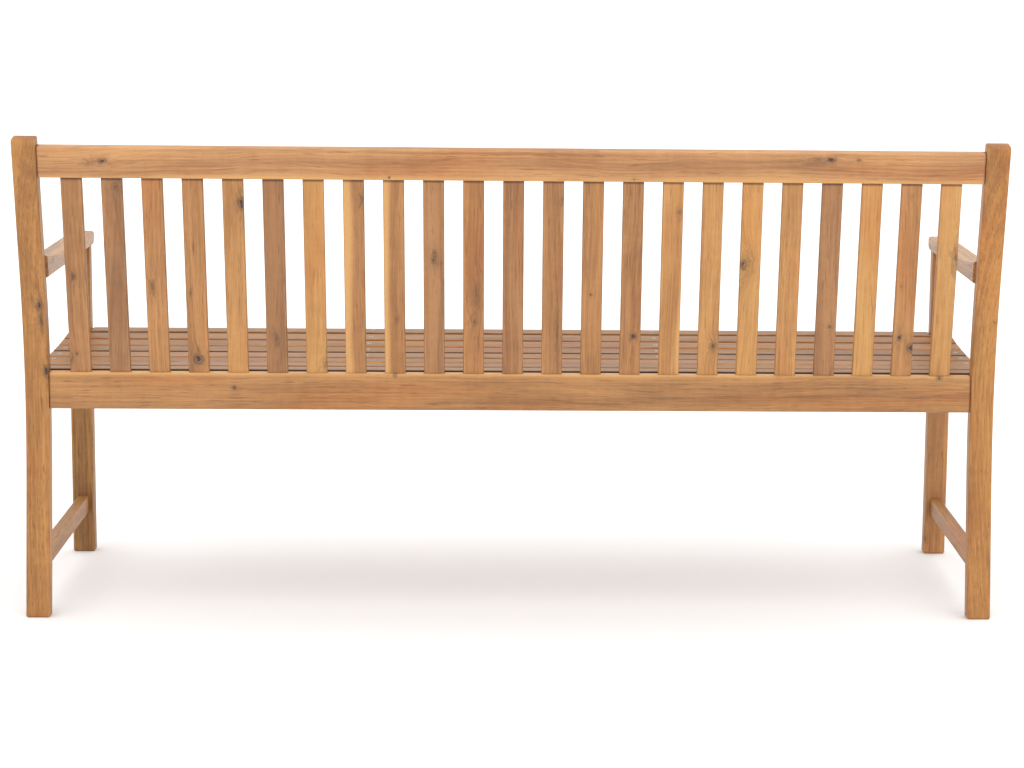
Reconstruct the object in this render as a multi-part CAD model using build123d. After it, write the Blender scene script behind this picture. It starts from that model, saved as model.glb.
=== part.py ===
from build123d import *
import os
from math import atan2, cos, degrees, radians, sin, sqrt, tan

# Garden bench in oiled hardwood, for three people. Millimetres.
# The floor is Z = 0, the seat faces -Y and X runs along the bench. While it is
# built, Y = 0 is the back face of the rear legs at their knee; at the end the
# whole bench is moved so that the origin is the middle of its footprint.

# ------------------------------------------------------------ legs
bench_width = 1800.0       # outer face to outer face of the end frames
bench_height = 900.0       # floor to the highest corner of the rear legs
frame_depth = 469.0        # front face of the front legs to the knee's back face
leg_width = 44.0           # along the bench
leg_depth = 28.0           # front to back
knee_height = 385.0        # where the rear leg's back face stands furthest forward
knee_radius = 1250.0       # bend of the rear leg's back face
back_rake = 11.8           # degrees that the upper part of the rear leg leans back
foot_splay = 6.2           # degrees that the lower part kicks back
leg_round = 4.0            # rounding of the legs' long edges
leg_top_round = 9.0        # rear legs' upper back corner, seen from the side
foot_chamfer = 3.0         # chamfer round the feet

# ------------------------------------------------------------ armrests
arm_underside = 633.0      # floor to the underside
arm_thickness = 28.0       # of the level part
arm_rise = 14.0            # armrest's top curves up by this to the rear leg
arm_rise_length = 150.0    # length of that curve
arm_nose_radius = 14.0     # lower front corner, seen from the side
arm_lip_radius = 8.0       # upper front corner, seen from the side
arm_outer_inset = 2.0      # armrest's outer face inside the leg's outer face
arm_inner_overhang = 4.0   # armrest's inner face past the leg's inner face
arm_front_overhang = 10.0  # past the front face of the front leg
arm_round = 5.0            # rounding of the other edges

# ------------------------------------------------------------ rails
side_rail_height = 49.0    # at the seat's lowest point; all four rails share one underside
rear_rail_height = 69.0
rail_thickness = 22.0      # front, rear and top rails
back_inset = 2.0           # rear and top rails inside the legs' back face
front_inset = 2.0          # front rail inside the front legs' front face
top_rail_height = 58.0
top_rail_drop = 46.0       # bench's highest corner to the middle of the top rail
rail_round = 4.0           # rounding of the rails' long edges
rail_end_round = 2.0       # softened arrises at the rails' ends
side_rail_thickness = 20.0
bearer_thickness = 26.0    # cross bearers under the seat
bearer_count = 2
stretcher_bottom = 82.0
stretcher_height = 35.0
stretcher_thickness = 22.0
stretcher_round = 3.0

# ------------------------------------------------------------ back slats
back_slat_count = 23
back_slat_width = 38.3
back_slat_thickness = 12.0
back_slat_round = 3.0
back_end_gap = 39.5        # outermost slats to the rear legs

# ------------------------------------------------------------ seat slats
seat_slat_count = 8
seat_slat_width = 46.0
seat_slat_thickness = 15.0
seat_back_gap = 10.0       # last slat's back edge in front of the rear legs' knee
seat_slat_round = 3.0
seat_side_inset = 3.0      # slat ends inside the end frames' outer faces
seat_low_height = 452.0    # floor to the lowest point of the dished seat
seat_front_rise = 11.5     # top of the front slat, which lies level, above that point
seat_low_from_front = 268.0
seat_dish_radius = 2300.0
front_slat_end_gap = 0.8   # front slat's ends to the front legs

# ------------------------------------------------------------ wood joints
tenon_thickness = 10.0
tenon_length = 8.0
tenon_shoulder = 6.0       # top and bottom shoulders of rails and stretchers
joint_clearance = 0.15     # round a tenon or dowel in its mortise, each side
mortise_end_gap = 0.8      # left past a tenon's end
bearer_tenon_length = 8.0
slat_tenon_thickness = 7.0
slat_tenon_width = 28.0
slat_tenon_length = 13.0
arm_tenon_size = 18.0      # square tenon on top of the front leg
arm_tenon_height = 16.0
arm_tenon_shoulder = 4.0   # above and below the armrest's rear tenon
arm_tenon_length = 16.0    # of that tenon, at its underside
dowel_diameter = 8.0
dowel_depth = 18.0         # into each of the two pieces it lines up

# ------------------------------------------------------------ hardware
bolt_diameter = 6.0
bolt_length = 80.0         # under the head
bolt_clearance = 0.25      # round the shank, each side
bolt_head_diameter = 10.0
bolt_head_height = 6.0
hex_key = 5.0              # across flats
hex_depth = 3.5
washer_diameter = 14.0
washer_thickness = 1.6
counterbore_diameter = 15.0
counterbore_depth = 10.0
nut_diameter = 10.0
nut_length = 14.0
nut_from_end = 32.0        # rail's end to the barrel nut's axis
nut_clearance = 0.1        # round the barrel nut, each side
nut_slot_width = 1.6
nut_slot_depth = 1.5
nut_thread_clearance = 0.05
bolt_above_middle = 11.0   # bolt above the middle of its rail's end
dowel_below_middle = 14.0  # dowel below it
front_bolt_rise = 9.0      # the same two for the lower front rail
front_dowel_drop = 12.0
screw_diameter = 4.5
screw_length = 38.0
screw_head_diameter = 9.0
screw_clearance = 0.05
screw_slot_width = 1.4
screw_slot_length = 5.0
screw_slot_depth = 1.4
screw_from_leg = 60.0      # front slat's outer screws to the front legs

# ------------------------------------------------------------ worked-out places
half_width = bench_width / 2
leg_inner = half_width - leg_width
leg_middle = half_width - leg_width / 2
inner_span = 2 * leg_inner
front_leg_front = -frame_depth
front_leg_back = front_leg_front + leg_depth
arm_top = arm_underside + arm_thickness
arm_inner = leg_inner - arm_inner_overhang
arm_outer = half_width - arm_outer_inset
arm_front = front_leg_front - arm_front_overhang
rail_bottom = seat_low_height - seat_slat_thickness - side_rail_height
top_rail_level = bench_height - top_rail_drop
rear_rail_back = -back_inset
rear_rail_middle = rear_rail_back - rail_thickness / 2
rear_rail_front = rear_rail_back - rail_thickness
rear_rail_top = rail_bottom + rear_rail_height
front_rail_front = front_leg_front + front_inset
front_rail_back = front_rail_front + rail_thickness
front_rail_middle = (front_rail_front + front_rail_back) / 2
seat_front_height = seat_low_height + seat_front_rise
front_rail_top = seat_front_height - seat_slat_thickness
seat_low = front_leg_front + seat_low_from_front
seat_depth = frame_depth - leg_depth - seat_back_gap
seat_slat_pitch = (seat_depth - seat_slat_width) / (seat_slat_count - 1)
bearer_places = [inner_span * (i + 1) / (bearer_count + 1) - leg_inner for i in range(bearer_count)]


def bend_point(radius, angle):
    """(Y, Z) on a circle about the centre of the rear leg's bend, angle up from the knee."""
    turn = radians(angle)
    return Vector(knee_radius - radius * cos(turn), knee_height + radius * sin(turn))


def along(angle, length):
    """(Y, Z) step of a length up a line that leans back by an angle."""
    return Vector(sin(radians(angle)), cos(radians(angle))) * length


def leg_face_at(height, radius):
    """Y of the rear leg's face whose bend has this radius, at a height."""
    upper = bend_point(radius, back_rake)
    lower = bend_point(radius, -foot_splay)
    if height > upper.Y:
        return upper.X + (height - upper.Y) * tan(radians(back_rake))
    if height < lower.Y:
        return lower.X + (lower.Y - height) * tan(radians(foot_splay))
    return knee_radius - sqrt(radius**2 - (height - knee_height) ** 2)


def leg_back_at(height):
    """Y of the rear leg's back face at a height."""
    return leg_face_at(height, knee_radius)


def leg_front_at(height):
    """Y of the rear leg's front face at a height."""
    return leg_face_at(height, knee_radius + leg_depth)


def box_between(x, y, z):
    """Box from three (low, high) pairs."""
    sides = [high - low for low, high in (x, y, z)]
    middle = [(low + high) / 2 for low, high in (x, y, z)]
    return Pos(*middle) * Box(*sides)


def rod_x(x_from, x_to, y, z, diameter):
    """Cylinder along X between two X values."""
    rod = Cylinder(diameter / 2, abs(x_to - x_from))
    return Pos((x_from + x_to) / 2, y, z) * Rot(0, 90, 0) * rod


def soften(solid, radius, axis):
    """Round a straight board's four long edges."""
    return fillet(solid.edges().filter_by(axis), radius)


# The panel that holds the back slats leans from the rear rail's top to the top rail's middle.
panel_foot = Vector(rear_rail_middle, rear_rail_top)
top_rail_offset = (back_inset + rail_thickness / 2) / cos(radians(back_rake))
panel_head = Vector(leg_back_at(top_rail_level) - top_rail_offset, top_rail_level)
panel_rise = (panel_head - panel_foot).length
panel_lean = degrees(atan2(panel_head.X - panel_foot.X, panel_head.Y - panel_foot.Y))
back_slats_reach = leg_inner - back_end_gap - back_slat_width / 2
back_pitch = 2 * back_slats_reach / (back_slat_count - 1)


def panel_frame(x, rise):
    """Place on the back panel's middle plane: local Z runs up the panel, local Y backwards."""
    spot = panel_foot + along(panel_lean, rise)
    return Location((x, spot.X, spot.Y), (-panel_lean, 0, 0))


# ------------------------------------------------------------ rear leg
def rear_leg_outline():
    """Side view of the rear leg: two straights joined by one bend, its upper back corner rounded."""
    front_radius = knee_radius + leg_depth
    front_bend_top = bend_point(front_radius, back_rake)
    back_bend_top = bend_point(knee_radius, back_rake)
    front_bend_foot = bend_point(front_radius, -foot_splay)
    back_bend_foot = bend_point(knee_radius, -foot_splay)
    upper = (bench_height - front_bend_top.Y) / cos(radians(back_rake))
    front_foot = front_bend_foot - along(-foot_splay, front_bend_foot.Y / cos(radians(foot_splay)))
    back_foot = back_bend_foot - along(-foot_splay, back_bend_foot.Y / cos(radians(foot_splay)))
    front_top = front_bend_top + along(back_rake, upper)
    crown_end = front_top + along(back_rake + 90, leg_depth - leg_top_round)
    crown_middle = crown_end - along(back_rake, leg_top_round)
    crown_halfway = crown_middle + along(back_rake + 45, leg_top_round)
    back_top = crown_middle + along(back_rake + 90, leg_top_round)
    crown = ThreePointArc(crown_end, crown_halfway, back_top)
    front_bend = ThreePointArc(front_bend_foot, bend_point(front_radius, 0), front_bend_top)
    back_bend = ThreePointArc(back_bend_top, bend_point(knee_radius, 0), back_bend_foot)
    front_run = Line(front_bend_top, front_top)
    back_run = Line(back_top, back_bend_top)
    lines = [Line(front_foot, front_bend_foot), front_bend, front_run, Line(front_top, crown_end), crown]
    lines += [back_run, back_bend, Line(back_bend_foot, back_foot), Line(back_foot, front_foot)]
    return make_face(Plane.YZ * Wire(lines))


def rear_leg_prism(x_low, x_high):
    """The rear leg's side view carried between two X values, square-edged."""
    return Pos(x_low, 0, 0) * extrude(rear_leg_outline(), x_high - x_low, dir=(1, 0, 0))


def rear_leg():
    """Right rear leg with its mortises and bolt holes."""
    leg = Part() + rear_leg_prism(leg_inner, half_width)
    rims = [edge for face in leg.faces().filter_by(Axis.X) for edge in face.edges()]
    rims = [edge for edge in rims if edge.center().Z > foot_chamfer]
    front_top_edge = leg.edges().filter_by(Axis.X).sort_by(Axis.Z)[-1]
    leg = fillet(rims + [front_top_edge], leg_round)
    leg = chamfer(leg.faces().sort_by(Axis.Z)[0].edges(), foot_chamfer)
    leg -= tenon_block(side_rail_tenon_rear(), joint_clearance)
    leg -= tenon_block(stretcher_tenon_rear(), joint_clearance)
    leg -= tenon_block(arm_tenon_rear(), joint_clearance)
    for spot in rail_end_spots()[:2]:
        leg -= leg_holes(spot)
    return leg


# ------------------------------------------------------------ front leg
def front_leg():
    """Right front leg: square, with a tenon on top for the armrest."""
    leg = box_between((leg_inner, half_width), (front_leg_front, front_leg_back), (0, arm_underside))
    leg = soften(leg, leg_round, Axis.Z)
    leg = chamfer(leg.faces().sort_by(Axis.Z)[0].edges(), foot_chamfer)
    leg += arm_post_tenon(0)
    leg -= tenon_block(side_rail_tenon_front(), joint_clearance)
    leg -= tenon_block(stretcher_tenon_front(), joint_clearance)
    leg -= leg_holes(rail_end_spots()[2])
    return leg


def arm_post_tenon(clearance):
    """Square tenon on the front leg, or its mortise when a clearance is given."""
    half = arm_tenon_size / 2 + clearance
    middle_y = (front_leg_front + front_leg_back) / 2
    end_gap = mortise_end_gap if clearance else 0
    top = arm_underside + arm_tenon_height + end_gap
    x_sides = (leg_middle - half, leg_middle + half)
    return box_between(x_sides, (middle_y - half, middle_y + half), (arm_underside, top))


# ------------------------------------------------------------ tenons of the end frame
def tenon_block(tenon, clearance=0.0):
    """Tenon along Y from (inside Y, shoulder Y, low Z, high Z); a clearance makes its mortise."""
    inside, shoulder, low, high = tenon
    half = tenon_thickness / 2 + clearance
    end_gap = mortise_end_gap if clearance else 0
    tip = inside + end_gap if inside > shoulder else inside - end_gap
    y_sides = (min(tip, shoulder), max(tip, shoulder))
    return box_between((leg_middle - half, leg_middle + half), y_sides, (low - clearance, high + clearance))


def front_tenon(low, high):
    """Tenon into the front leg's back face; its root reaches back into its rail."""
    return (front_leg_back - tenon_length, front_leg_back + tenon_length, low, high)


def rear_tenon(low, high, face_at):
    """Tenon into the rear leg's front face, which stands at face_at there."""
    return (face_at + tenon_length, face_at - tenon_length, low, high)


def side_rail_levels():
    """Low and high Z of the side rails' tenons."""
    return rail_bottom + tenon_shoulder, seat_low_height - seat_slat_thickness - tenon_shoulder


def stretcher_levels():
    """Low and high Z of the stretchers' tenons."""
    return stretcher_bottom + tenon_shoulder, stretcher_bottom + stretcher_height - tenon_shoulder


def side_rail_tenon_front():
    return front_tenon(*side_rail_levels())


def side_rail_tenon_rear():
    return rear_tenon(*side_rail_levels(), leg_front_at(rail_bottom))


def stretcher_tenon_front():
    return front_tenon(*stretcher_levels())


def stretcher_tenon_rear():
    return rear_tenon(*stretcher_levels(), leg_front_at(stretcher_bottom))


def arm_tenon_rear():
    face_at = leg_front_at(arm_underside)
    levels = (arm_underside + arm_tenon_shoulder, arm_top - arm_tenon_shoulder)
    return (face_at + arm_tenon_length, face_at - arm_tenon_length, *levels)


# ------------------------------------------------------------ end frame pieces
def tenoned(board, *tenons):
    """A board that runs between the legs, cut to them, with its tenons added."""
    leg_space = rear_leg_prism(leg_inner - leg_width, half_width + leg_width)
    body = board - leg_space
    for tenon in tenons:
        body += tenon_block(tenon)
    return body


def stretcher():
    """Right lower stretcher between the front and rear legs."""
    x_sides = (leg_middle - stretcher_thickness / 2, leg_middle + stretcher_thickness / 2)
    levels = (stretcher_bottom, stretcher_bottom + stretcher_height)
    board = soften(box_between(x_sides, (front_leg_back, 0), levels), stretcher_round, Axis.Y)
    return tenoned(board, stretcher_tenon_front(), stretcher_tenon_rear())


def side_rail():
    """Right side rail: its top is cut in flats that the seat slats lie on."""
    half = side_rail_thickness / 2
    board = seat_bed(leg_middle - half, leg_middle + half, front_leg_back, 0)
    return tenoned(board, side_rail_tenon_front(), side_rail_tenon_rear())


def arm_outline():
    """Side view of the armrest: level with a rounded front, its top curving up to the rear leg."""
    rise_start = leg_front_at(arm_top) - arm_rise_length
    rise_radius = (arm_rise_length**2 + arm_rise**2) / (2 * arm_rise)
    reach = arm_rise_length + leg_depth / 2

    def rise_point(run):
        """Point of the upward curve, at a run behind its start."""
        return Vector(rise_start + run, arm_top + rise_radius - sqrt(rise_radius**2 - run**2))

    nose = Vector(arm_front + arm_nose_radius, arm_underside + arm_nose_radius)
    lip = Vector(arm_front + arm_lip_radius, arm_top - arm_lip_radius)
    nose_arc = [nose + along(angle, arm_nose_radius) for angle in (180, 225, 270)]
    lip_arc = [lip + along(angle, arm_lip_radius) for angle in (270, 315, 360)]
    rear_foot = Vector(rise_start + reach, arm_underside)
    lines = [Line(rear_foot, nose_arc[0]), ThreePointArc(*nose_arc), Line(nose_arc[2], lip_arc[0])]
    lines += [ThreePointArc(*lip_arc), Line(lip_arc[2], rise_point(0))]
    lines += [ThreePointArc(rise_point(0), rise_point(reach / 2), rise_point(reach))]
    lines += [Line(rise_point(reach), rear_foot)]
    return make_face(Plane.YZ * Wire(lines))


def armrest():
    """Right armrest, over the front leg and tenoned into the rear leg."""
    board = Part() + Pos(arm_inner, 0, 0) * extrude(arm_outline(), arm_outer - arm_inner, dir=(1, 0, 0))
    rear = board.edges().sort_by(Axis.Y)[-1].center().Y
    rims = [edge for face in board.faces().filter_by(Axis.X) for edge in face.edges()]
    board = fillet([edge for edge in rims if edge.center().Y < rear - leg_depth / 2], arm_round)
    return tenoned(board, arm_tenon_rear()) - arm_post_tenon(joint_clearance)


# ------------------------------------------------------------ seat
def seat_slat_frames():
    """Place of each seat slat's underside middle, front to back: local Y backwards along it."""
    frames = []
    front_middle = front_leg_front + seat_slat_width / 2
    for i in range(seat_slat_count):
        y = front_middle + i * seat_slat_pitch
        if i == 0:
            frames.append(Location((0, y, seat_front_height - seat_slat_thickness)))
            continue
        slope = (y - seat_low) / seat_dish_radius
        top = seat_low_height + seat_dish_radius * (1 - cos(slope))
        drop = Vector(0, sin(slope), -cos(slope)) * seat_slat_thickness
        frames.append(Location((0, y + drop.Y, top + drop.Z), (degrees(slope), 0, 0)))
    return frames


def seat_bed(x_low, x_high, y_front, y_back):
    """Board on edge whose top follows the undersides of the seat slats."""
    top = []
    for frame in seat_slat_frames():
        for edge in (-seat_slat_width / 2, seat_slat_width / 2):
            corner = (frame * Pos(0, edge, 0)).position
            top.append((corner.Y, corner.Z))
    far = 2 * frame_depth
    outline = [(-far, rail_bottom), (-far, top[0][1])] + top + [(far, top[-1][1]), (far, rail_bottom)]
    face = Plane.YZ * make_face(Polyline(*outline, close=True))
    board = Pos(x_low, 0, 0) * extrude(face, x_high - x_low, dir=(1, 0, 0))
    return board & box_between((x_low, x_high), (y_front, y_back), (0, bench_height))


def seat_screw_places(index):
    """(X, Y along the slat's width) of the screws in one seat slat."""
    if index:
        return [(x, 0) for x in [-leg_middle] + bearer_places + [leg_middle]]
    outer = leg_inner - screw_from_leg
    offset = front_rail_middle - (front_leg_front + seat_slat_width / 2)
    return [(x, offset) for x in [-outer] + bearer_places + [outer]]


def seat_slat(index):
    """One lengthwise seat slat with its countersunk screw holes."""
    reach = half_width - seat_side_inset if index else leg_inner - front_slat_end_gap
    sides = (-seat_slat_width / 2, seat_slat_width / 2)
    slat = box_between((-reach, reach), sides, (0, seat_slat_thickness))
    upper = slat.edges().filter_by(lambda edge: edge.center().Z > seat_slat_thickness / 4)
    slat = fillet(upper, seat_slat_round)
    for x, y in seat_screw_places(index):
        slat -= Pos(x, y, seat_slat_thickness) * screw_shape(screw_clearance)
    return seat_slat_frames()[index] * slat


def screw_shape(clearance):
    """Countersunk screw with its head's top at Z = 0, or its hole when a clearance is given."""
    core = screw_diameter / 2 + clearance
    head = screw_head_diameter / 2
    cone = head - core
    shank = Pos(0, 0, -screw_length / 2) * Cylinder(core, screw_length)
    return shank + Pos(0, 0, -cone / 2) * Cone(core, head, cone)


def seat_screws():
    """All the screws of the seat, each with a cross recess."""
    arm = Box(screw_slot_length, screw_slot_width, 2 * screw_slot_depth)
    screw = screw_shape(0) - arm - Rot(0, 0, 90) * arm
    screws = []
    for index, frame in enumerate(seat_slat_frames()):
        screws += [frame * Pos(x, y, seat_slat_thickness) * screw for x, y in seat_screw_places(index)]
    return screws


def screw_holes(index_list, x_wanted):
    """Pilot holes for the screws of some slats that fall on one support."""
    holes = []
    core = screw_diameter / 2 + screw_clearance
    deep = screw_length + mortise_end_gap
    for index in index_list:
        for x, y in seat_screw_places(index):
            if x_wanted is None or abs(x - x_wanted) < 1:
                place = Pos(x, y, seat_slat_thickness - deep / 2)
                holes.append(seat_slat_frames()[index] * place * Cylinder(core, deep))
    return holes


def bearer_tenon(x, shoulder, direction, clearance=0.0):
    """Stub tenon of a cross bearer, or its mortise when a clearance is given."""
    half = tenon_thickness / 2 + clearance
    end_gap = mortise_end_gap if clearance else 0
    tip = shoulder + direction * (bearer_tenon_length + end_gap)
    low, high = side_rail_levels()
    y_sides = (min(tip, shoulder), max(tip, shoulder))
    return box_between((x - half, x + half), y_sides, (low - clearance, high + clearance))


def seat_bearer(x):
    """Cross bearer between the front and rear rails, bedded like the side rails."""
    half = bearer_thickness / 2
    bearer = seat_bed(x - half, x + half, front_rail_back, rear_rail_front)
    bearer += bearer_tenon(x, front_rail_back, -1)
    bearer += bearer_tenon(x, rear_rail_front, 1)
    return bearer - screw_holes(range(1, seat_slat_count), x)


# ------------------------------------------------------------ long rails
def long_rail(height):
    """Rail between the legs, centred, with every arris softened."""
    rail = soften(Box(inner_span, rail_thickness, height), rail_round, Axis.X)
    for end in (0, -1):
        rail = fillet(rail.faces().sort_by(Axis.X)[end].edges(), rail_end_round)
    return rail


def front_rail():
    """Rail under the front slat, square on top so that the slat lies on it."""
    height = front_rail_top - rail_bottom
    place = Pos(0, front_rail_middle, rail_bottom + height / 2)
    rail = Box(inner_span, rail_thickness, height)
    lower = rail.edges().filter_by(Axis.X).sort_by(Axis.Z)[:2]
    rail = place * fillet(lower, rail_round)
    rail -= screw_holes([0], None)
    for x in bearer_places:
        rail -= bearer_tenon(x, front_rail_back, -1, joint_clearance)
    return rail - rail_end_holes(rail_end_spots()[2])


def rear_rail():
    """Rail behind the seat, mortised on top for the back slats."""
    rail = Pos(0, rear_rail_middle, rail_bottom + rear_rail_height / 2) * long_rail(rear_rail_height)
    rail -= [panel_frame(x, 0) * slat_tenon(joint_clearance, 0) for x in back_slat_places()]
    for x in bearer_places:
        rail -= bearer_tenon(x, rear_rail_front, 1, joint_clearance)
    return rail - rail_end_holes(rail_end_spots()[0])


def top_rail():
    """Rail along the top of the back, mortised underneath for the back slats."""
    rail = panel_frame(0, panel_rise) * long_rail(top_rail_height)
    rail -= [panel_frame(x, 0) * slat_tenon(joint_clearance, slat_body_rise()) for x in back_slat_places()]
    return rail - rail_end_holes(rail_end_spots()[1])


# ------------------------------------------------------------ back slats
def back_slat_places():
    """X of each back slat's middle, at one pitch between the two end gaps."""
    return [i * back_pitch - back_slats_reach for i in range(back_slat_count)]


def slat_body_rise():
    """Length of a back slat between the rails, up the panel."""
    return panel_rise - top_rail_height / 2


def slat_tenon(clearance, rise):
    """Stub tenon across one end of a back slat, or its mortise when a clearance is given."""
    end_gap = mortise_end_gap if clearance else 0
    reach = slat_tenon_length + end_gap
    width = slat_tenon_width + 2 * clearance
    return Pos(0, 0, rise) * Box(width, slat_tenon_thickness + 2 * clearance, 2 * reach)


def back_slat():
    """Upright slat at X = 0, its foot cut level to stand on the rear rail."""
    body_rise = slat_body_rise()
    spare = back_slat_thickness
    slat = Pos(0, 0, (body_rise - spare) / 2) * Box(back_slat_width, back_slat_thickness, body_rise + spare)
    slat = panel_frame(0, 0) * soften(slat, back_slat_round, Axis.Z)
    x_sides = (-back_slat_width, back_slat_width)
    slat -= box_between(x_sides, (-bench_height, bench_height), (0, rear_rail_top))
    tenons = panel_frame(0, 0) * slat_tenon(0, 0) + panel_frame(0, 0) * slat_tenon(0, body_rise)
    return slat + tenons


# ------------------------------------------------------------ bolts, nuts, dowels
def rail_end_spots():
    """For the rear, top and front rails: bolt (Y, Z), dowel (Y, Z) and the rail's lean."""
    rear_middle = rail_bottom + rear_rail_height / 2
    rear_bolt = Vector(rear_rail_middle, rear_middle + bolt_above_middle)
    rear_dowel = Vector(rear_rail_middle, rear_middle - dowel_below_middle)
    top_bolt = panel_head + along(panel_lean, bolt_above_middle)
    top_dowel = panel_head - along(panel_lean, dowel_below_middle)
    front_middle = (rail_bottom + front_rail_top) / 2
    front_bolt = Vector(front_rail_middle, front_middle + front_bolt_rise)
    front_dowel = Vector(front_rail_middle, front_middle - front_dowel_drop)
    rear = (rear_bolt, rear_dowel, 0.0)
    top = (top_bolt, top_dowel, panel_lean)
    return [rear, top, (front_bolt, front_dowel, 0.0)]


def leg_holes(spot):
    """Bolt hole, counterbore and dowel hole through the right leg for one rail."""
    bolt, dowel, lean = spot
    shank = bolt_diameter + 2 * bolt_clearance
    holes = rod_x(leg_inner, half_width, bolt.X, bolt.Y, shank)
    holes += rod_x(half_width - counterbore_depth, half_width, bolt.X, bolt.Y, counterbore_diameter)
    deep = dowel_depth + mortise_end_gap
    holes += rod_x(leg_inner, leg_inner + deep, dowel.X, dowel.Y, dowel_diameter + 2 * joint_clearance)
    return holes


def nut_place(spot):
    """Frame of the right-hand barrel nut: its axis runs across the rail's thickness."""
    bolt, dowel, lean = spot
    return Location((leg_inner - nut_from_end, bolt.X, bolt.Y), (-lean, 0, 0)) * Rot(90, 0, 0)


def rail_end_holes(spot):
    """Bolt, barrel nut and dowel holes in both ends of one rail."""
    bolt, dowel, lean = spot
    tip = half_width - counterbore_depth + washer_thickness - bolt_length - mortise_end_gap
    holes = rod_x(tip, leg_inner, bolt.X, bolt.Y, bolt_diameter + 2 * bolt_clearance)
    deep = dowel_depth + mortise_end_gap
    holes += rod_x(leg_inner - deep, leg_inner, dowel.X, dowel.Y, dowel_diameter + 2 * joint_clearance)
    back_end = -nut_length / 2 - mortise_end_gap
    hole_length = rail_thickness - back_end
    pocket = Pos(0, 0, back_end + hole_length / 2) * Cylinder(nut_diameter / 2 + nut_clearance, hole_length)
    holes += nut_place(spot) * pocket
    return holes + mirror(holes, Plane.YZ)


def connector_bolt(spot):
    """Socket-head bolt from the leg's counterbore into the rail."""
    bolt, dowel, lean = spot
    seat = half_width - counterbore_depth + washer_thickness
    shape = rod_x(seat - bolt_length, seat, bolt.X, bolt.Y, bolt_diameter)
    shape += rod_x(seat, seat + bolt_head_height, bolt.X, bolt.Y, bolt_head_diameter)
    socket = extrude(RegularPolygon(hex_key / 2, 6, major_radius=False), hex_depth)
    return shape - Pos(seat + bolt_head_height - hex_depth, bolt.X, bolt.Y) * Rot(0, 90, 0) * socket


def bolt_washer(spot):
    """Washer between the bolt's head and the counterbore's floor."""
    bolt, dowel, lean = spot
    floor = half_width - counterbore_depth
    disc = rod_x(floor, floor + washer_thickness, bolt.X, bolt.Y, washer_diameter)
    return disc - rod_x(floor, floor + washer_thickness, bolt.X, bolt.Y, bolt_diameter + 2 * bolt_clearance)


def barrel_nut(spot):
    """Cross dowel nut in the rail, with a screwdriver slot in its front end."""
    bore = Rot(0, 90, 0) * Cylinder(bolt_diameter / 2 + nut_thread_clearance, 2 * nut_diameter)
    slot = Pos(0, 0, nut_length / 2) * Box(2 * nut_diameter, nut_slot_width, 2 * nut_slot_depth)
    return nut_place(spot) * (Cylinder(nut_diameter / 2, nut_length) - bore - slot)


def locating_dowel(spot):
    """Fluteless wood dowel that lines a rail's end up with its leg."""
    bolt, dowel, lean = spot
    return rod_x(leg_inner - dowel_depth, leg_inner + dowel_depth, dowel.X, dowel.Y, dowel_diameter)


def both_ends(make):
    """One fastener for each rail at the right end, and its mirror image at the left."""
    right = [make(spot) for spot in rail_end_spots()]
    return right + [mirror(piece, Plane.YZ) for piece in right]


# ------------------------------------------------------------ assembly
def pair(name, right):
    """The right-hand piece and its mirror image."""
    return {name + "_right": right, name + "_left": mirror(right, Plane.YZ)}


def bench():
    """Every node of the bench by name."""
    nodes = {}
    nodes.update(pair("rear_leg", rear_leg()))
    nodes.update(pair("front_leg", front_leg()))
    nodes.update(pair("armrest", armrest()))
    nodes.update(pair("side_rail", side_rail() - screw_holes(range(1, seat_slat_count), leg_middle)))
    nodes.update(pair("side_stretcher", stretcher()))
    nodes["top_rail"] = top_rail()
    nodes["rear_rail"] = rear_rail()
    nodes["front_rail"] = front_rail()
    for number, x in enumerate(bearer_places, 1):
        nodes[f"seat_bearer_{number:02d}"] = seat_bearer(x)
    slat = back_slat()
    for number, x in enumerate(back_slat_places(), 1):
        nodes[f"back_slat_{number:02d}"] = Pos(x, 0, 0) * slat
    for index in range(seat_slat_count):
        nodes[f"seat_slat_{index + 1:02d}"] = seat_slat(index)
    nodes["connector_bolts"] = both_ends(connector_bolt)
    nodes["bolt_washers"] = both_ends(bolt_washer)
    nodes["barrel_nuts"] = both_ends(barrel_nut)
    nodes["locating_dowels"] = both_ends(locating_dowel)
    nodes["seat_screws"] = seat_screws()
    return nodes


def as_compound(piece):
    """One compound from a part or a list of parts."""
    pieces = piece if isinstance(piece, list) else [piece]
    return Compound(children=[solid for item in pieces for solid in item.solids()])


os.makedirs("parts", exist_ok=True)
nodes = {name: as_compound(piece) for name, piece in bench().items()}
box = Compound([node for node in nodes.values()]).bounding_box()
to_origin = Pos(-(box.min.X + box.max.X) / 2, -(box.min.Y + box.max.Y) / 2, -box.min.Z)
for name, node in nodes.items():
    export_step(to_origin * node, f"parts/{name}.step")
print("bench", [round(size, 2) for size in box.size])
print("back panel leans", round(panel_lean, 2), "degrees, slat gap", round(back_pitch - back_slat_width, 2))
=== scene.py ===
"""Finishes for the garden bench: oiled acacia boards, zinc hardware, studio and camera."""
import math
import random

import bpy
import numpy as np
from mathutils import Matrix, Vector


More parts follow.
